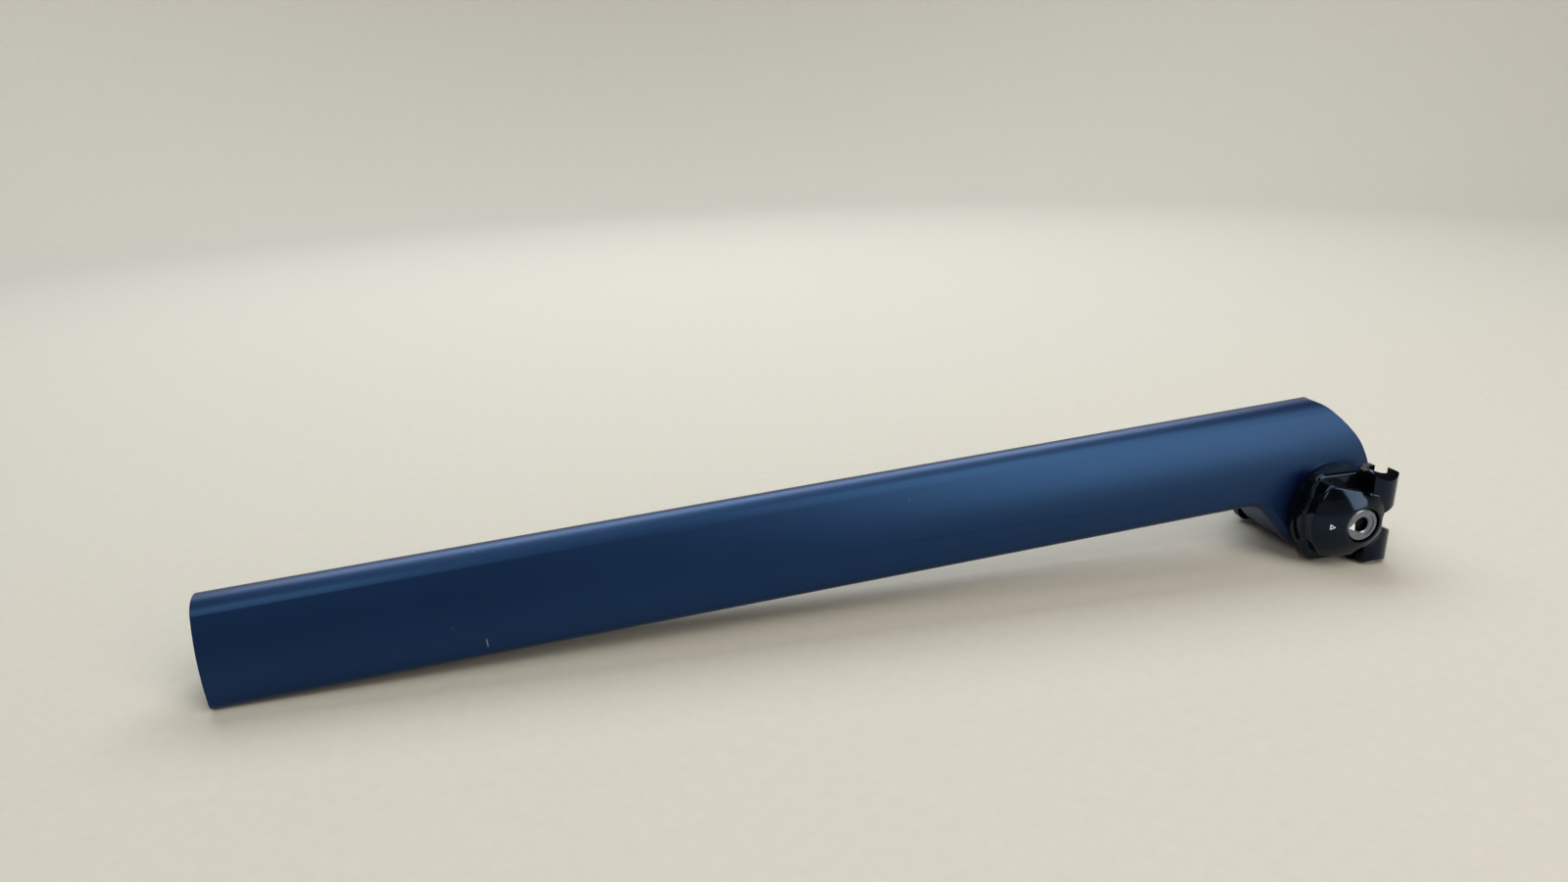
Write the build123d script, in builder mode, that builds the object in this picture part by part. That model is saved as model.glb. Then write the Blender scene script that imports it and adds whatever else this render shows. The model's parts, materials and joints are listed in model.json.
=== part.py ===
# A bicycle seatpost: a hollow D-section tube that bends back into a head, and on the head a clamp that
# holds the two round rails of a saddle. One bolt across the head draws two outer jaws onto two inner
# cradles, and the cradles' cones turn in the head to set the saddle's tilt. The post lies as put down:
# on the flat rear of its lower end and on the rear ends of both jaws.
import os
from math import asin, atan, atan2, cos, degrees, hypot, radians, sin, sqrt, tan
from build123d import *

os.makedirs("parts", exist_ok=True)

# Tube, in mm. "Along" runs up the tube from its lower end, "ahead" from the middle of its depth. Its
# section is flat behind and on the rear of its flanks, and three tangent arcs make its round front.
section_depth = 32.0
section_width = 26.0
half_depth = section_depth / 2
half_width = section_width / 2
rear_rounding = 2.8
wall = 2.4
flank_depth = 3.5
nose_radius = 7.5
nose_depth = section_depth - nose_radius
nose_reach = nose_depth - flank_depth
flank_radius = (nose_reach**2 + half_width**2 - nose_radius**2) / (2 * (half_width - nose_radius))
nose_turn = degrees(atan2(flank_radius - half_width, nose_reach))
bolt_along = 368.4
setback = 21.1

# Head, seen from the side: a brow in front, a throat behind and a round boss about the clamp.
brow_back = 4.4
brow_along = bolt_along - brow_back
brow_radius = 10.0
brow_turn = radians(43)
throat_radius = 10.0
throat_turn = radians(52)
boss_radius = 19.2
boss_back = 0.8
boss_rise = 2.5

# Clamp, measured from the bolt's axis: "up" is away from the tube, "out" is along the bolt.
rail_diameter = 7.0
rail_radius = rail_diameter / 2
rail_spacing = 44.0
rail_out = rail_spacing / 2
rail_up = 9.5
jaw_half_length = 17.0
running_clearance = 0.05
loose_clearance = 0.3

# Seats of the two cones in the head, each in the middle of a flat round pad on the head's flank.
cradle_radius = 16.0
pad_rise = 0.2
pad_out = half_width + pad_rise
seat_mouth_radius = 12.0
seat_throat_radius = 9.0
seat_depth = 7.5

# Inner cradle: its round base starts just off the head's pad, its plate is on the base and its trough
# lies under the rail.
plate_in = pad_out + running_clearance
base_radius = jaw_half_length - loose_clearance
base_thickness = 3.2
base_out = plate_in + base_thickness
cradle_inset = 1.6
cradle_out = rail_out - cradle_inset
wing_up = -13.8
wing_rounding = 4.5
plate_edge = 1.2
lip_up = 11.0
trough_wall = 2.0
trough_foot_up = rail_up - rail_radius - trough_wall
trough_inset = 0.4
trough_half_length = jaw_half_length - trough_inset
cone_slope = (seat_mouth_radius - seat_throat_radius) / seat_depth
cone_lead = 0.5
cone_start = pad_out - seat_depth + cone_lead

# Outer jaw: outline, dome, hooks over the rail and pocket for the nut or the washer.
jaw_radius = 15.2
jaw_corner_up = -9.0
jaw_corner_side = 13.2
corner_rounding = 2.5
jaw_rounding = 1.4
boss_proud = 7.6
boss_face_out = rail_out + boss_proud
boss_face_radius = 6.9
dome_radius = 20.5
dome_centre_out = boss_face_out - sqrt(dome_radius**2 - boss_face_radius**2)
dome_foot_radius = sqrt(dome_radius**2 - (cradle_out - dome_centre_out) ** 2)
end_rounding = 8.0
end_relief = 1.0
hook_blend = 1.5
hook_wall = 2.3
hook_swell = 0.5
hook_radius = rail_radius + hook_wall + hook_swell
hook_top_up = rail_up + rail_radius + hook_wall
hook_rounding = 2.8
hook_edge = 0.8
scallop_radius = 2.2
scallop_up = 2.7
scallop_side = 11.5
waist_up = 7.7
waist_half = 5.2
waist_side = 1.8
neck_up = 8.4
neck_side = scallop_side - scallop_radius
trough_gap = 0.3
pocket_depth = 4.8
pocket_floor_out = boss_face_out - pocket_depth

# Bolt, nut and washer.
bolt_diameter = 6.0
bolt_radius = bolt_diameter / 2
thread_radius = 2.5
bolt_hole_radius = bolt_radius + loose_clearance
index_radius = 5.85
pocket_gap = 0.45
pocket_radius = index_radius + pocket_gap
face_inset = 0.3
nut_out = boss_face_out - face_inset
washer_thickness = 2.0
bolt_head_radius = 4.9
socket_across = 5.0
socket_depth = 2.2
bolt_grip = 2.5
bolt_end_out = pocket_floor_out + bolt_grip
index_bevel = 0.5
dish_radius = 4.3
dish_depth = 0.25
thread_lead = 0.5
bolt_bevel = 0.5

# The lie: the bolt's axis is half a jaw above the floor and the tube slopes down to its lower end.
overhang = setback - half_depth
slope = asin(jaw_half_length / hypot(bolt_along, overhang)) + atan(overhang / bolt_along)
tail_height = half_depth * cos(slope)
boss_along = bolt_along - boss_back
boss_ahead = boss_rise - setback
reach = boss_along * cos(slope) - boss_ahead * sin(slope) + boss_radius
tail_x = (half_depth * sin(slope) - reach) / 2
side = Plane(origin=(tail_x, 0, tail_height), x_dir=(cos(slope), 0, sin(slope)), z_dir=(0, -1, 0))
bolt_point = side.from_local_coords((bolt_along, -setback, 0))
bolt_axis = Axis(bolt_point, (0, 1, 0))
across = Plane(origin=bolt_point, x_dir=(1, 0, 0), z_dir=(0, 0, 1))
rail_plane = Plane(origin=bolt_point - Vector(0, 0, jaw_half_length), x_dir=(1, 0, 0), z_dir=(0, 0, 1))
tail_plane = Plane(
    origin=side.from_local_coords((0, -half_depth, 0)),
    x_dir=side.y_dir,
    z_dir=side.x_dir,
)


def outward(distance):
    """The plane square to the bolt, this far out on the left side; its x is up and its y is ahead."""
    return Plane(origin=bolt_point - Vector(0, distance, 0), x_dir=(1, 0, 0), z_dir=(0, -1, 0))


# The head's outline in the middle plane: the slant behind and the face in front both run onto the boss.
boss_centre = Vector(boss_along, boss_ahead)
brow_out = Vector(sin(brow_turn), cos(brow_turn))
brow_end = Vector(brow_along, half_depth - brow_radius) + brow_out * brow_radius
brow_reach = brow_end - boss_centre
face_radius = (brow_reach.length**2 - boss_radius**2) / (2 * (brow_reach.dot(brow_out) - boss_radius))
face_out = (boss_centre - brow_end + brow_out * face_radius).normalized()
face_end = boss_centre + face_out * boss_radius
slant_end = boss_centre - Vector(sin(throat_turn), cos(throat_turn)) * boss_radius
throat_ahead = -half_depth - throat_radius * (1 - cos(throat_turn))
throat_end = Vector(slant_end.X - (throat_ahead - slant_end.Y) / tan(throat_turn), throat_ahead)
throat_along = throat_end.X - throat_radius * sin(throat_turn)

# Post: moulded tube and head in one. Its side outline is as thick as the tube is wide, with its rims
# rounded; the tube's round front is then cut along all of it, and the tube is hollow up to the throat.
with BuildPart() as post:
    with BuildSketch(side):
        with BuildLine():
            Polyline(
                (brow_along, half_depth),
                (0, half_depth),
                (0, -half_depth),
                (throat_along, -half_depth),
            )
            TangentArc((throat_along, -half_depth), throat_end, tangent=(1, 0))
            Line(throat_end, slant_end)
            TangentArc(slant_end, face_end, tangent=slant_end - throat_end)
            TangentArc(brow_end, face_end, tangent=(cos(brow_turn), -sin(brow_turn)))
            TangentArc((brow_along, half_depth), brow_end, tangent=(1, 0))
        make_face()
    extrude(amount=half_width, both=True)
    rims = post.faces().filter_by(Axis.Y).edges().filter_by(lambda e: e.center().X > tail_x + half_depth)
    fillet(rims, rear_rounding)
    with BuildSketch(tail_plane):
        with BuildLine():
            CenterArc((nose_depth, 0), nose_radius, -nose_turn, 2 * nose_turn)
            CenterArc((flank_depth, half_width - flank_radius), flank_radius, nose_turn, 90 - nose_turn)
            CenterArc((flank_depth, flank_radius - half_width), flank_radius, -90, 90 - nose_turn)
            Polyline(
                (flank_depth, half_width),
                (-section_depth, half_width),
                (-section_depth, -half_width),
                (flank_depth, -half_width),
            )
        make_face()
    extrude(amount=boss_along + 2 * boss_radius, mode=Mode.INTERSECT)
    with BuildSketch(outward(0)):
        Circle(cradle_radius)
    extrude(amount=pad_out, both=True)
    with BuildSketch(across):
        with BuildLine():
            Polyline(
                (0, -pad_out),
                (seat_mouth_radius, -pad_out),
                (seat_throat_radius, seat_depth - pad_out),
                (seat_throat_radius, pad_out - seat_depth),
                (seat_mouth_radius, pad_out),
                (0, pad_out),
                close=True,
            )
        make_face()
    revolve(axis=bolt_axis, mode=Mode.SUBTRACT)
    with BuildSketch(tail_plane):
        with BuildLine():
            CenterArc((nose_depth, 0), nose_radius - wall, -nose_turn, 2 * nose_turn)
            CenterArc(
                (flank_depth, half_width - flank_radius), flank_radius - wall, nose_turn, 90 - nose_turn
            )
            CenterArc((flank_depth, flank_radius - half_width), flank_radius - wall, -90, 90 - nose_turn)
            Polyline(
                (flank_depth, half_width - wall),
                (wall, half_width - wall),
                (wall, wall - half_width),
                (flank_depth, wall - half_width),
            )
        make_face()
    extrude(amount=throat_along, mode=Mode.SUBTRACT)
post.part.label = "post"
export_step(post.part, "parts/post.step")

# Inner cradle, left: a cone that sits in the head, a round base, a winged plate and a trough under the rail.
with BuildPart() as inner_cradle_left:
    with BuildSketch(outward(plate_in)):
        Circle(base_radius)
        with Locations((lip_up, 0)):
            Rectangle(
                base_radius, 2 * base_radius, align=(Align.MIN, Align.CENTER), mode=Mode.SUBTRACT
            )
    extrude(amount=base_thickness)
    with BuildSketch(outward(base_out)) as plate_outline:
        Circle(cradle_radius)
        with Locations((wing_up / 2, 0)):
            Rectangle(
                2 * cradle_radius, 2 * cradle_radius, align=(Align.MIN, Align.CENTER), mode=Mode.SUBTRACT
            )
        with Locations((wing_up, 0)):
            Rectangle(lip_up - wing_up, 2 * cradle_radius, align=(Align.MIN, Align.CENTER))
        for end in (0, -1):
            wing_corner = plate_outline.vertices().group_by(Axis.Y)[end].sort_by(Axis.X)[0]
            fillet(wing_corner, wing_rounding)
    extrude(amount=cradle_out - base_out)
    plate_rims = inner_cradle_left.edges().group_by(Axis.Y)[0].filter_by(
        lambda e: e.center().X < bolt_point.X + trough_foot_up
    )
    fillet(plate_rims, plate_edge)
    with BuildSketch(rail_plane.offset(jaw_half_length - trough_half_length)):
        with Locations((rail_up, -rail_out)):
            Circle(rail_radius + hook_wall)
        with Locations((lip_up, -plate_in)):
            Rectangle(
                lip_up - trough_foot_up,
                rail_out - plate_in,
                align=(Align.MAX, Align.MAX),
                mode=Mode.INTERSECT,
            )
    extrude(amount=2 * trough_half_length)
    with BuildSketch(rail_plane):
        with Locations((rail_up, -rail_out)):
            Circle(rail_radius)
    extrude(amount=2 * jaw_half_length, mode=Mode.SUBTRACT)
    with BuildSketch(across):
        with BuildLine():
            Polyline(
                (0, -cone_start),
                (seat_throat_radius + cone_slope * cone_lead - running_clearance, -cone_start),
                (seat_mouth_radius - running_clearance, -pad_out),
                (seat_mouth_radius - running_clearance, -plate_in - cone_lead),
                (0, -plate_in - cone_lead),
                close=True,
            )
        make_face()
    revolve(axis=bolt_axis)
    with BuildSketch(outward(0)):
        Circle(bolt_hole_radius)
    extrude(amount=boss_face_out, mode=Mode.SUBTRACT)
inner_cradle_left.part.label = "inner_cradle_left"
export_step(inner_cradle_left.part, "parts/inner_cradle_left.step")
with BuildPart() as inner_cradle_right:
    mirror(inner_cradle_left.part, about=Plane.XZ)
inner_cradle_right.part.label = "inner_cradle_right"
export_step(inner_cradle_right.part, "parts/inner_cradle_right.step")

# Hook at the front of the left jaw: a rounded bar over the outer half of the rail.
with BuildPart() as hook:
    with BuildSketch(rail_plane):
        with Locations((rail_up, -rail_out)):
            Circle(hook_radius)
    extrude(amount=2 * jaw_half_length)
    with BuildSketch(outward(cradle_out)) as hook_outline:
        with BuildLine():
            Polyline(
                (scallop_up + scallop_radius, jaw_half_length),
                (hook_top_up, jaw_half_length),
                (hook_top_up, waist_half),
                (waist_up, waist_side),
                (scallop_up, waist_side),
                (scallop_up, neck_side),
                (scallop_up + scallop_radius, neck_side),
                close=True,
            )
        make_face()
        fillet(hook_outline.vertices().group_by(Axis.X)[-1], hook_rounding)
        fillet(hook_outline.vertices().group_by(Axis.Y)[-1].group_by(Axis.X)[0], jaw_rounding)
    extrude(amount=boss_face_out - cradle_out, mode=Mode.INTERSECT)
    hook_backs = hook.faces().filter_by(GeomType.CYLINDER).filter_by(
        lambda f: f.radius > rail_radius + hook_wall
    )
    hook_rims = hook_backs.edges().filter_by(
        lambda e: e.center().Y < -rail_out and e.center().X > bolt_point.X + waist_up
    )
    fillet(hook_rims, hook_edge)

# Outer jaw, left: a domed body with a boss for the nut and two hooks that hold the rail from outside.
with BuildPart() as outer_jaw_left:
    with BuildSketch(across):
        with BuildLine():
            Polyline(
                (boss_face_radius, -boss_face_out),
                (0, -boss_face_out),
                (0, -cradle_out),
                (dome_foot_radius, -cradle_out),
            )
            TangentArc(
                (boss_face_radius, -boss_face_out),
                (dome_foot_radius, -cradle_out),
                tangent=(boss_face_out - dome_centre_out, boss_face_radius),
            )
        make_face()
    revolve(axis=bolt_axis)
    with BuildSketch(outward(cradle_out)) as body_outline:
        with BuildLine():
            ThreePointArc(
                (jaw_corner_up, -jaw_corner_side), (-jaw_radius, 0), (jaw_corner_up, jaw_corner_side)
            )
            Polyline(
                (jaw_corner_up, jaw_corner_side),
                (scallop_up, scallop_side),
                (scallop_up, neck_side),
                (neck_up, neck_side),
                (neck_up, waist_half / 2),
                (waist_up, waist_side),
                (waist_up, -waist_side),
                (neck_up, -waist_half / 2),
                (neck_up, -neck_side),
                (scallop_up, -neck_side),
                (scallop_up, -scallop_side),
                (jaw_corner_up, -jaw_corner_side),
            )
        make_face()
        with Locations((scallop_up, scallop_side), (scallop_up, -scallop_side)):
            Circle(scallop_radius, mode=Mode.SUBTRACT)
        fillet(body_outline.vertices().group_by(Axis.X)[0], corner_rounding)
        scallop_ends = body_outline.vertices().filter_by_position(
            Axis.X, jaw_corner_up / 2, scallop_up - scallop_radius / 2
        )
        fillet(scallop_ends, jaw_rounding)
    extrude(amount=boss_face_out, mode=Mode.INTERSECT)
    body_rims = outer_jaw_left.faces().filter_by(GeomType.SPHERE).edges().filter_by(
        lambda e: e.center().X < bolt_point.X + scallop_up and e.center().Y > face_inset - boss_face_out
    )
    fillet(body_rims, jaw_rounding)
    add(hook.part)
    mirror(hook.part, about=Plane.XY.offset(bolt_point.Z))
    with BuildSketch(Plane(origin=bolt_point, x_dir=(0, 0, 1), z_dir=(1, 0, 0))) as jaw_ends:
        Rectangle(2 * jaw_half_length, boss_face_out + end_relief, align=(Align.CENTER, Align.MIN))
        fillet(jaw_ends.vertices().group_by(Axis.Y)[-1], end_rounding)
    extrude(amount=2 * jaw_half_length, both=True, mode=Mode.INTERSECT)
    dome_edges = outer_jaw_left.faces().filter_by(GeomType.SPHERE).edges()
    hook_backs = outer_jaw_left.faces().filter_by(GeomType.CYLINDER).filter_by(
        lambda f: abs(f.radius - hook_radius) < running_clearance
    )
    fillet(dome_edges & hook_backs.edges(), hook_blend)
    with BuildSketch(rail_plane):
        with Locations((rail_up, -rail_out)):
            Circle(rail_radius)
        with Locations((trough_foot_up - trough_gap, -rail_out - trough_gap)):
            Rectangle(jaw_half_length, rail_out, align=(Align.MIN, Align.MIN))
    extrude(amount=2 * jaw_half_length, mode=Mode.SUBTRACT)
    with BuildSketch(outward(pocket_floor_out)):
        Circle(pocket_radius)
    extrude(amount=boss_face_out, mode=Mode.SUBTRACT)
    with BuildSketch(outward(0)):
        Circle(bolt_hole_radius)
    extrude(amount=boss_face_out, mode=Mode.SUBTRACT)
outer_jaw_left.part.label = "outer_jaw_left"
export_step(outer_jaw_left.part, "parts/outer_jaw_left.step")
with BuildPart() as outer_jaw_right:
    mirror(outer_jaw_left.part, about=Plane.XZ)
outer_jaw_right.part.label = "outer_jaw_right"
export_step(outer_jaw_right.part, "parts/outer_jaw_right.step")

# Index nut, left: a round nut with a thread through it, let into the left jaw.
with BuildPart() as index_nut:
    with BuildSketch(outward(pocket_floor_out)):
        Circle(index_radius)
    extrude(amount=nut_out - pocket_floor_out)
    chamfer(index_nut.edges().filter_by(GeomType.CIRCLE).group_by(Axis.Y)[0], index_bevel)
    with BuildSketch(outward(nut_out)):
        Circle(dish_radius)
    extrude(amount=-dish_depth, mode=Mode.SUBTRACT)
    with BuildSketch(outward(0)):
        Circle(thread_radius)
    extrude(amount=boss_face_out, mode=Mode.SUBTRACT)
    thread_mouth = index_nut.edges().filter_by(GeomType.CIRCLE).filter_by(lambda e: e.radius < bolt_radius)
    chamfer(thread_mouth.group_by(Axis.Y)[0], thread_lead)
index_nut.part.label = "index_nut"
export_step(index_nut.part, "parts/index_nut.step")

# Index washer, right: the same disc, thinner and with a plain hole, under the bolt's head.
with BuildPart() as index_washer:
    with BuildSketch(outward(-pocket_floor_out)):
        Circle(index_radius)
        Circle(bolt_hole_radius, mode=Mode.SUBTRACT)
    extrude(amount=-washer_thickness)
    chamfer(index_washer.edges().filter_by(GeomType.CIRCLE).group_by(Axis.Y)[-1], index_bevel)
index_washer.part.label = "index_washer"
export_step(index_washer.part, "parts/index_washer.step")

# Clamp bolt: head on the right, shank through everything and threaded end in the nut.
with BuildPart() as clamp_bolt:
    with BuildSketch(outward(-pocket_floor_out - washer_thickness)):
        Circle(bolt_radius)
    extrude(amount=pocket_floor_out + washer_thickness + pocket_floor_out - loose_clearance)
    with BuildSketch(outward(0)):
        Circle(thread_radius - running_clearance)
    extrude(amount=bolt_end_out)
    with BuildSketch(outward(-pocket_floor_out - washer_thickness)):
        Circle(bolt_head_radius)
    extrude(amount=-(nut_out - pocket_floor_out - washer_thickness))
    chamfer(clamp_bolt.edges().filter_by(GeomType.CIRCLE).group_by(Axis.Y)[-1], bolt_bevel)
    with BuildSketch(outward(-nut_out)):
        RegularPolygon(socket_across / 2, 6, major_radius=False)
    extrude(amount=socket_depth, mode=Mode.SUBTRACT)
clamp_bolt.part.label = "clamp_bolt"
export_step(clamp_bolt.part, "parts/clamp_bolt.step")
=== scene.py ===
import json
from math import atan2, cos, radians, sin

import bpy
from mathutils import Matrix, Vector


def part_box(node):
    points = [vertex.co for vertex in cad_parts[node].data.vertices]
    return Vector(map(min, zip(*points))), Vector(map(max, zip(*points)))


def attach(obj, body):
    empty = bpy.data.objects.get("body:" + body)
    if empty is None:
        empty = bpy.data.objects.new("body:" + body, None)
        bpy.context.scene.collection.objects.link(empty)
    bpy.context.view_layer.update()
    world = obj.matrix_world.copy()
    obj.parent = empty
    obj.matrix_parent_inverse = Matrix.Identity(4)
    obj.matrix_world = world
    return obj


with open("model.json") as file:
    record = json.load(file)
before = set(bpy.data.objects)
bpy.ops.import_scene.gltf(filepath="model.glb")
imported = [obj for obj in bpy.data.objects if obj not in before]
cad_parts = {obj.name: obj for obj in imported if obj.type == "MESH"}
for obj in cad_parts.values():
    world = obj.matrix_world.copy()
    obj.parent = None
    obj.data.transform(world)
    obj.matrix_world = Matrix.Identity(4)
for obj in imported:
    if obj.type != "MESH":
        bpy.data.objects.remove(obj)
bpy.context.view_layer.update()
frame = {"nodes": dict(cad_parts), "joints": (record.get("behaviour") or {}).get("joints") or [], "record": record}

bpy.ops.object.select_all(action="DESELECT")


# Post: the D-section tube and its head, one moulding of carbon fibre. The outside is sprayed a satin dark
# navy, the cut lower end and the hollow inside show the bare laminate. Faint lines run along the left flank
# where plies end under the paint, and specks and one short rub have come with use.
def set_inputs(material, node, inputs):
    """Sets a node's inputs, each to a number, a colour or another node's output."""
    for name, value in inputs.items():
        if isinstance(value, bpy.types.NodeSocket):
            material.node_tree.links.new(value, node.inputs[name])
        else:
            node.inputs[name].default_value = value


def add_node(material, kind, inputs=None, **settings):
    """A new shader node with these inputs and settings."""
    made = material.node_tree.nodes.new(kind)
    for name, value in settings.items():
        setattr(made, name, value)
    set_inputs(material, made, inputs or {})
    return made


def new_finish(name):
    """A new material, its shader and the place on the piece in metres."""
    material = bpy.data.materials.new(name)
    material.use_nodes = True
    shader = material.node_tree.nodes["Principled BSDF"]
    place = add_node(material, "ShaderNodeTexCoord").outputs["Object"]
    return material, shader, place


def split(material, vector):
    """The X, Y and Z of a vector."""
    return add_node(material, "ShaderNodeSeparateXYZ", {"Vector": vector}).outputs


def combine(material, operation, first, second=0.0, third=0.0):
    """The output of one Math node."""
    inputs = {0: first, 1: second, 2: third}
    return add_node(material, "ShaderNodeMath", inputs, operation=operation).outputs[0]


def apart(material, first, second):
    """How far two values lie from each other."""
    return combine(material, "ABSOLUTE", combine(material, "SUBTRACT", first, second))


def from_origin(material, first, second):
    """How far a point with these two coordinates lies from their origin."""
    square = combine(material, "MULTIPLY", first, first)
    return combine(material, "SQRT", combine(material, "MULTIPLY_ADD", second, second, square))


def raised(material, pattern, base, height):
    """The base where a pattern is 0, and more by the height where it is 1."""
    return combine(material, "MULTIPLY_ADD", pattern, height, base)


def overlap(material, first, *others):
    """The product of masks: 1 only where all of them are 1."""
    for other in others:
        first = combine(material, "MULTIPLY", first, other)
    return first


def fade(material, value, start, end):
    """1 where the value is at start, easing to 0 at end."""
    inputs = {"Value": value, "From Min": start, "From Max": end, "To Min": 1.0, "To Max": 0.0}
    return add_node(material, "ShaderNodeMapRange", inputs, interpolation_type="SMOOTHSTEP").outputs[0]


def mix_colours(material, share, first, second):
    """The first colour where share is 0 and the second where it is 1."""
    made = add_node(material, "ShaderNodeMix", {0: share, 6: first, 7: second}, data_type="RGBA")
    return made.outputs[2]


def noise(material, place, scale, detail=2.0, roughness=0.5):
    """Soft noise from 0 to 1, with this many periods in a metre."""
    inputs = {"Vector": place, "Scale": scale, "Detail": detail, "Roughness": roughness}
    return add_node(material, "ShaderNodeTexNoise", inputs).outputs[0]


def bump(material, pattern, strength, distance, beneath=None):
    """The normal of a surface that a pattern makes uneven, on top of another such normal if one is given."""
    inputs = {"Height": pattern, "Strength": strength, "Distance": distance}
    if beneath is not None:
        inputs["Normal"] = beneath
    return add_node(material, "ShaderNodeBump", inputs).outputs[0]


seat_tube = next(m for m in frame["record"]["mounts"] if m["name"] == "seat_tube")
tube_slope = atan2(-seat_tube["axis"][2], -seat_tube["axis"][0])
navy_paint, navy_shader, post_place = new_finish("navy_paint")
tube_place = add_node(
    navy_paint,
    "ShaderNodeMapping",
    {"Vector": post_place, "Location": seat_tube["pos_m"], "Rotation": (0, -tube_slope, 0)},
    vector_type="TEXTURE",
).outputs[0]
along, across, ahead = split(navy_paint, tube_place)

# The bare laminate shows where a point lies inside the middle of the wall, or on the cut end.
half_depth = 0.0160
wall_middle = 0.0012
flank_radius = 0.05034
flank_centre_ahead = -0.0125
flank_centre_across = 0.03734
hollow_end = 0.3368
cut_end = 0.0001
aside = combine(navy_paint, "ADD", combine(navy_paint, "ABSOLUTE", across), flank_centre_across)
forth = combine(navy_paint, "SUBTRACT", ahead, flank_centre_ahead)
from_flank_centre = from_origin(navy_paint, aside, forth)
hollow = overlap(
    navy_paint,
    combine(navy_paint, "LESS_THAN", from_flank_centre, flank_radius - wall_middle),
    combine(navy_paint, "LESS_THAN", combine(navy_paint, "ABSOLUTE", ahead), half_depth - wall_middle),
    combine(navy_paint, "LESS_THAN", along, hollow_end),
)
bare = combine(navy_paint, "MAXIMUM", hollow, combine(navy_paint, "LESS_THAN", along, cut_end))

# Paint: two close navies in soft clouds, and a fine orange peel.
deep_navy = (0.0003, 0.0020, 0.0190, 1)
light_navy = (0.0006, 0.0030, 0.0250, 1)
cloud = noise(navy_paint, tube_place, scale=28.0, detail=4.0, roughness=0.55)
peel = noise(navy_paint, tube_place, scale=900.0)
paint_colour = mix_colours(navy_paint, cloud, deep_navy, light_navy)

# Dust: sparse pale specks up to half a millimetre across. Their radius is in cells of the pattern, of which
# a share stays plain.
speck_radius = 0.030
plain_share = 0.45
grains = add_node(navy_paint, "ShaderNodeTexVoronoi", {"Vector": tube_place, "Scale": 110.0})
picked = split(navy_paint, grains.outputs["Color"])[0]
speck = overlap(
    navy_paint,
    combine(navy_paint, "LESS_THAN", grains.outputs["Distance"], speck_radius),
    combine(navy_paint, "GREATER_THAN", picked, plain_share),
)

# Lines along the left flank: the dark edge of a ply, which bends back past the tube's middle, and a fine
# seam ahead of it. Both waver a little and fade out towards their ends.
ply_rest = -0.0041
ply_waver = 0.0007
ply_bend_along = 0.2
ply_bend_slope = -0.030
seam_rest = 0.01145
seam_waver = 0.0005
waver = noise(navy_paint, tube_place, scale=18.0, detail=1.0)
left_side = combine(navy_paint, "LESS_THAN", across, 0.0)
line_reach = overlap(
    navy_paint,
    fade(navy_paint, along, start=0.150, end=0.110),
    fade(navy_paint, along, start=0.240, end=0.310),
    left_side,
)
past_bend = combine(navy_paint, "MAXIMUM", combine(navy_paint, "SUBTRACT", along, ply_bend_along), 0.0)
ply_ahead = raised(navy_paint, waver, base=ply_rest, height=ply_waver)
ply_ahead = raised(navy_paint, past_bend, base=ply_ahead, height=ply_bend_slope)
past_ply = combine(navy_paint, "SUBTRACT", ahead, ply_ahead)
from_ply = combine(navy_paint, "ABSOLUTE", past_ply)
ply_line = overlap(navy_paint, fade(navy_paint, from_ply, start=0.00005, end=0.00025), line_reach)
ply_step = overlap(navy_paint, fade(navy_paint, past_ply, start=0.0003, end=-0.0003), line_reach)
from_seam = apart(navy_paint, ahead, raised(navy_paint, waver, base=seam_rest, height=seam_waver))
seam_line = overlap(navy_paint, fade(navy_paint, from_seam, start=0.00004, end=0.00016), line_reach)

# Rub: one short upright stroke on the left flank, near the lower end.
rub_along = 0.0794
rub_ahead = -0.0106
rub = overlap(
    navy_paint,
    fade(navy_paint, apart(navy_paint, along, rub_along), start=0.00008, end=0.00030),
    fade(navy_paint, apart(navy_paint, ahead, rub_ahead), start=0.0008, end=0.0017),
    left_side,
)
for mark, strength, colour in (
    (ply_line, 0.35, (0.0015, 0.005, 0.018, 1)),
    (seam_line, 0.08, (0.10, 0.14, 0.20, 1)),
    (speck, 0.20, (0.35, 0.38, 0.42, 1)),
    (rub, 0.35, (0.40, 0.43, 0.46, 1)),
):
    share = combine(navy_paint, "MULTIPLY", mark, strength)
    paint_colour = mix_colours(navy_paint, share, paint_colour, colour)

# Laminate: black resin over crossed tows, seen at the cut end and down the hollow.
bare_resin = (0.006, 0.006, 0.007, 1)
bare_tow = (0.022, 0.022, 0.024, 1)
tows = add_node(
    navy_paint,
    "ShaderNodeTexWave",
    {"Vector": tube_place, "Scale": 160.0, "Distortion": 1.5, "Detail": 2.0},
    wave_type="BANDS",
    bands_direction="DIAGONAL",
).outputs[1]
laminate_colour = mix_colours(navy_paint, tows, bare_resin, bare_tow)

satin = raised(navy_paint, cloud, base=0.35, height=0.06)
peel_bump = bump(navy_paint, peel, strength=0.05, distance=0.0002)
set_inputs(
    navy_paint,
    navy_shader,
    {
        "Base Color": mix_colours(navy_paint, bare, paint_colour, laminate_colour),
        "Roughness": raised(navy_paint, ply_line, base=satin, height=0.06),
        "Specular IOR Level": 0.95,
        "Specular Tint": (0.17, 0.45, 1.0, 1),
        "Normal": bump(navy_paint, ply_step, strength=0.9, distance=0.0001, beneath=peel_bump),
    },
)
frame["nodes"]["post"].material_slots[0].material = navy_paint


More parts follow.
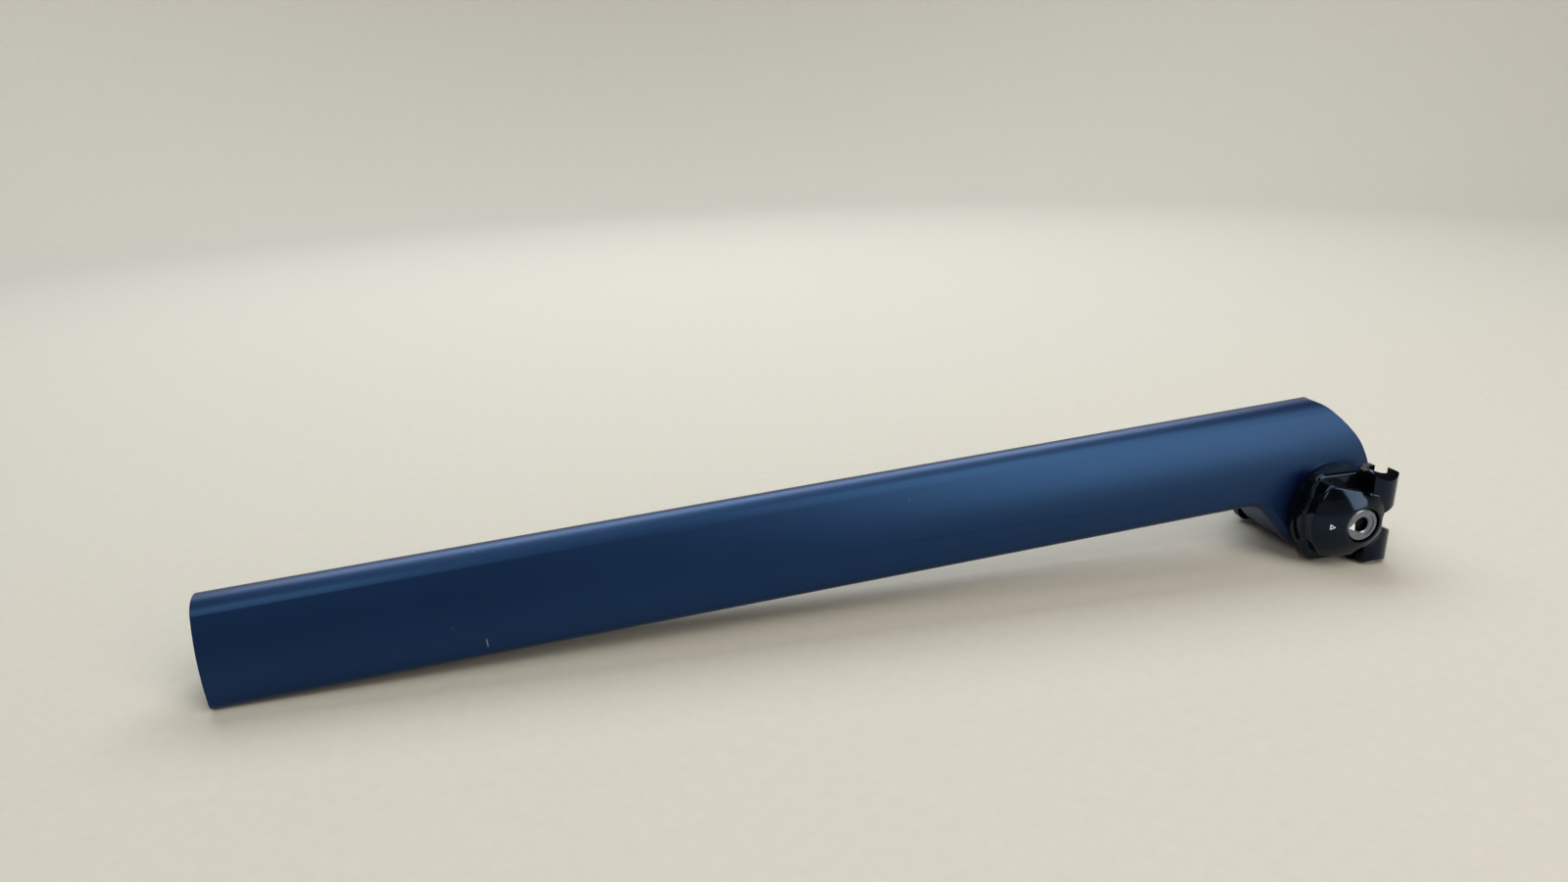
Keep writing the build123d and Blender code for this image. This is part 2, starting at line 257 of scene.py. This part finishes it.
# Cradles and jaws: four forged aluminium pieces, polished and anodised a deep gloss black. The cradles sit
# in the head on their cones, and the jaws hook over the rails from outside.
deep_black = (0.0010, 0.0012, 0.0018, 1)
hazy_black = (0.0022, 0.0026, 0.0036, 1)
black_anodise, black_shader, clamp_place = new_finish("black_anodise")
haze = noise(black_anodise, clamp_place, scale=160.0, detail=5.0, roughness=0.6)
polish = noise(black_anodise, clamp_place, scale=1400.0)
set_inputs(
    black_anodise,
    black_shader,
    {
        "Base Color": mix_colours(black_anodise, haze, deep_black, hazy_black),
        "Roughness": raised(black_anodise, haze, base=0.08, height=0.08),
        "Specular IOR Level": 0.42,
        "Specular Tint": (0.38, 0.60, 1.0, 1),
        "Normal": bump(black_anodise, polish, strength=0.03, distance=0.0001),
    },
)
for name in ("inner_cradle_left", "inner_cradle_right", "outer_jaw_left", "outer_jaw_right"):
    frame["nodes"][name].material_slots[0].material = black_anodise


# Nut and washer: two turned aluminium discs, anodised grey, let into the jaws' pockets. The tool's rings
# show on their faces, and the bore is painted near black as painted shade down the hole.
bolt_centre = Vector(frame["joints"][0]["pos_m"])
shaded_bore_radius = 0.0026
dark_grey = (0.165, 0.190, 0.230, 1)
light_grey = (0.225, 0.250, 0.290, 1)
bore_shade_black = (0.006, 0.006, 0.006, 1)
turned_grey, grey_shader, piece_place = new_finish("turned_grey")
disc_place = add_node(
    turned_grey,
    "ShaderNodeMapping",
    {"Vector": piece_place, "Location": bolt_centre},
    vector_type="TEXTURE",
).outputs[0]
rings = add_node(
    turned_grey,
    "ShaderNodeTexWave",
    {"Vector": disc_place, "Scale": 900.0, "Distortion": 0.6, "Detail": 2.0},
    wave_type="RINGS",
    rings_direction="Y",
).outputs[1]
tarnish = noise(turned_grey, disc_place, scale=420.0, detail=4.0)
grey_colour = mix_colours(turned_grey, tarnish, dark_grey, light_grey)
# Painted shade: near the bolt's axis the colour turns near black, standing in for the dark down the bore.
disc_x, _, disc_z = split(turned_grey, disc_place)
from_axis = from_origin(turned_grey, disc_x, disc_z)
shaded_bore = combine(turned_grey, "LESS_THAN", from_axis, shaded_bore_radius)
set_inputs(
    turned_grey,
    grey_shader,
    {
        "Base Color": mix_colours(turned_grey, shaded_bore, grey_colour, bore_shade_black),
        "Metallic": 1.0,
        "Roughness": raised(turned_grey, tarnish, base=0.28, height=0.15),
        "Normal": bump(turned_grey, rings, strength=0.10, distance=0.0001),
    },
)
for name in ("index_nut", "index_washer"):
    frame["nodes"][name].material_slots[0].material = turned_grey


# Bolt: a socket-head bolt of hardened steel, black oxidised. It goes in from the right through both jaws
# and both cradles, and its end is screwed into the nut.
oxide_black = (0.004, 0.004, 0.005, 1)
oxide_grey = (0.012, 0.012, 0.013, 1)
black_steel, steel_shader, bolt_place = new_finish("black_steel")
oxide = noise(black_steel, bolt_place, scale=500.0, detail=5.0)
set_inputs(
    black_steel,
    steel_shader,
    {
        "Base Color": mix_colours(black_steel, oxide, oxide_black, oxide_grey),
        "Metallic": 0.9,
        "Roughness": raised(black_steel, oxide, base=0.30, height=0.2),
    },
)
frame["nodes"]["clamp_bolt"].material_slots[0].material = black_steel


# Index marks: a solid triangle of white enamel let into the nut's face, and a fine outlined one printed on
# the left jaw, pointing at it. Where the two meet, the saddle lies level.
worn_white = (0.66, 0.70, 0.74, 1)
clean_white = (0.86, 0.88, 0.90, 1)
white_enamel, enamel_shader, mark_place = new_finish("white_enamel")
wear = noise(white_enamel, mark_place, scale=2600.0, detail=4.0)
set_inputs(
    white_enamel,
    enamel_shader,
    {
        "Base Color": mix_colours(white_enamel, wear, worn_white, clean_white),
        "Roughness": raised(white_enamel, wear, base=0.35, height=0.2),
    },
)

nut_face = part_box("index_nut")[0][1]
pointer_from_bolt = 0.00377
pointer_radius = 0.00153
pointer_dip = radians(5)
pointer_foot = 0.00027
pointer_rise = 0.00003
pointer_edge = 0.00002
bpy.ops.mesh.primitive_circle_add(
    vertices=3,
    radius=pointer_radius,
    fill_type="NGON",
    location=(
        bolt_centre.x - pointer_from_bolt * cos(pointer_dip),
        nut_face + pointer_foot,
        bolt_centre.z - pointer_from_bolt * sin(pointer_dip),
    ),
    rotation=(radians(90), radians(-90) - pointer_dip, 0),
)
nut_pointer = bpy.context.object
nut_pointer.name = "nut_pointer"
bpy.ops.object.transform_apply(location=True, rotation=True, scale=True)
bpy.ops.object.mode_set(mode="EDIT")
bpy.ops.mesh.select_all(action="SELECT")
bpy.ops.mesh.extrude_region_move(TRANSFORM_OT_translate={"value": (0, -pointer_foot - pointer_rise, 0)})
bpy.ops.mesh.select_all(action="SELECT")
bpy.ops.mesh.normals_make_consistent(inside=False)
bpy.ops.mesh.bevel(offset=pointer_edge, segments=2, affect="EDGES")
bpy.ops.object.mode_set(mode="OBJECT")
nut_pointer.data.materials.append(white_enamel)
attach(nut_pointer, "clamp")
bpy.ops.object.select_all(action="DESELECT")

print_from_bolt = 0.01060
print_radius = 0.00100
print_stretch = 1.22
print_line = 0.00029
print_thickness = 0.00004
print_lift = print_thickness / 4
print_middle = (bolt_centre.x - print_from_bolt, nut_face, bolt_centre.z)
bpy.ops.mesh.primitive_circle_add(
    vertices=3,
    radius=print_radius,
    fill_type="NGON",
    location=print_middle,
    rotation=(radians(90), radians(90), 0),
)
jaw_pointer = bpy.context.object
jaw_pointer.name = "jaw_pointer"
bpy.ops.object.transform_apply(location=True, rotation=True, scale=True)
bpy.ops.object.mode_set(mode="EDIT")
bpy.ops.mesh.select_all(action="SELECT")
bpy.ops.transform.resize(value=(1, 1, print_stretch), center_override=print_middle)
bpy.ops.mesh.inset(thickness=print_line)
bpy.ops.mesh.delete(type="FACE")
bpy.ops.mesh.select_all(action="SELECT")
bpy.ops.mesh.subdivide(number_cuts=3)
bpy.ops.mesh.normals_make_consistent(inside=False)
bpy.ops.object.mode_set(mode="OBJECT")
laid = jaw_pointer.modifiers.new("laid_on_jaw", "SHRINKWRAP")
laid.target = frame["nodes"]["outer_jaw_left"]
laid.wrap_method = "PROJECT"
laid.use_project_y = True
laid.use_positive_direction = True
laid.use_negative_direction = False
laid.offset = print_lift
bpy.ops.object.modifier_apply(modifier=laid.name)
film = jaw_pointer.modifiers.new("film", "SOLIDIFY")
film.thickness = print_thickness
film.offset = 0
bpy.ops.object.modifier_apply(modifier=film.name)
jaw_pointer.data.materials.append(white_enamel)
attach(jaw_pointer, "clamp")
bpy.ops.object.select_all(action="DESELECT")


# Studio: a plain pale floor of matt paper that curves up all round into a low wall. The wall grows from the
# floor's rim in short steps along a quarter circle.
floor_reach = 1.1
floor_sides = 96
cove_radius = 0.4
cove_steps = 12
wall_top = 0.9
bpy.ops.mesh.primitive_circle_add(vertices=floor_sides, radius=floor_reach, fill_type="NGON")
floor = bpy.context.object
floor.name = "studio_floor"
bpy.ops.object.mode_set(mode="EDIT")
bpy.ops.mesh.select_mode(type="EDGE")
bpy.ops.mesh.select_all(action="SELECT")
for step in range(cove_steps):
    before = radians(90) * step / cove_steps
    turn = radians(90) * (step + 1) / cove_steps
    widening = (floor_reach + cove_radius * sin(turn)) / (floor_reach + cove_radius * sin(before))
    bpy.ops.mesh.extrude_edges_move(
        TRANSFORM_OT_translate={"value": (0, 0, cove_radius * (cos(before) - cos(turn)))}
    )
    bpy.ops.transform.resize(value=(widening, widening, 1))
bpy.ops.mesh.extrude_edges_move(TRANSFORM_OT_translate={"value": (0, 0, wall_top - cove_radius)})
bpy.ops.object.mode_set(mode="OBJECT")
bpy.ops.object.shade_smooth()

paper_shade = (0.445, 0.418, 0.374, 1)
paper_light = (0.492, 0.466, 0.418, 1)
pale_floor, floor_shader, floor_place = new_finish("pale_floor")
fibre = noise(pale_floor, floor_place, scale=260.0, detail=4.0)
set_inputs(
    pale_floor,
    floor_shader,
    {"Base Color": mix_colours(pale_floor, fibre, paper_shade, paper_light), "Roughness": 0.9},
)
floor.data.materials.append(pale_floor)


# Light: a broad panel high behind, a dimmer one above, a tall window panel at the front right and a small
# one at the front left. A strip lights the wall behind, and the surround is dim.
floor_middle = (0.0, 0.0, 0.0)
post_middle = (0.0, 0.0, 0.03)
wall_behind = (0.0, 1.45, 0.25)
for name, place, aim, width, height, watts, colour in (
    ("overhead", (0.05, 0.72, 0.98), floor_middle, 1.5, 0.7, 14.5, (0.92, 0.97, 1.0)),
    ("ceiling", (0.0, -0.12, 1.18), post_middle, 1.4, 0.85, 4.2, (0.97, 1.0, 0.96)),
    ("window", (0.60, -0.86, 0.82), post_middle, 0.72, 1.45, 14.5, (1.0, 0.96, 0.87)),
    ("front_left", (-0.60, -0.70, 0.95), post_middle, 0.32, 0.32, 2.4, (1.0, 0.95, 0.84)),
    ("back_strip", (0.0, 0.75, 0.95), wall_behind, 1.8, 0.3, 6.0, (0.88, 0.95, 1.0)),
):
    bpy.ops.object.light_add(type="AREA", location=place)
    panel = bpy.context.object
    panel.name = name
    panel.data.shape = "RECTANGLE"
    panel.data.size = width
    panel.data.size_y = height
    panel.data.energy = watts
    panel.data.color = colour
    panel.rotation_euler = (Vector(aim) - Vector(place)).to_track_quat("-Z", "Y").to_euler()
surround = bpy.data.worlds.new("surround")
bpy.context.scene.world = surround
surround.use_nodes = True
background = surround.node_tree.nodes["Background"]
background.inputs["Color"].default_value = (0.85, 0.92, 1.0, 1)
background.inputs["Strength"].default_value = 0.05


# Camera: beside the tube's lower half, on its left and a hand's length above it, with a wide lens. The three
# directions are the picture's right, its up and the way into it.
camera_from_bolt = Vector((-0.255377, -0.2987, 0.1511))
right = Vector((0.9752, -0.2180, -0.0372))
up = Vector((0.1074, 0.3201, 0.9412))
forward = Vector((0.1934, 0.9219, -0.3356))
bpy.ops.object.camera_add()
camera = bpy.context.object
camera_place = Matrix.Translation(bolt_centre + camera_from_bolt)
camera.matrix_world = camera_place @ Matrix((right, up, -forward)).transposed().to_4x4()
camera.data.sensor_width = 36
camera.data.lens = 23.625
bpy.context.scene.camera = camera
bpy.context.scene.view_settings.view_transform = "Standard"
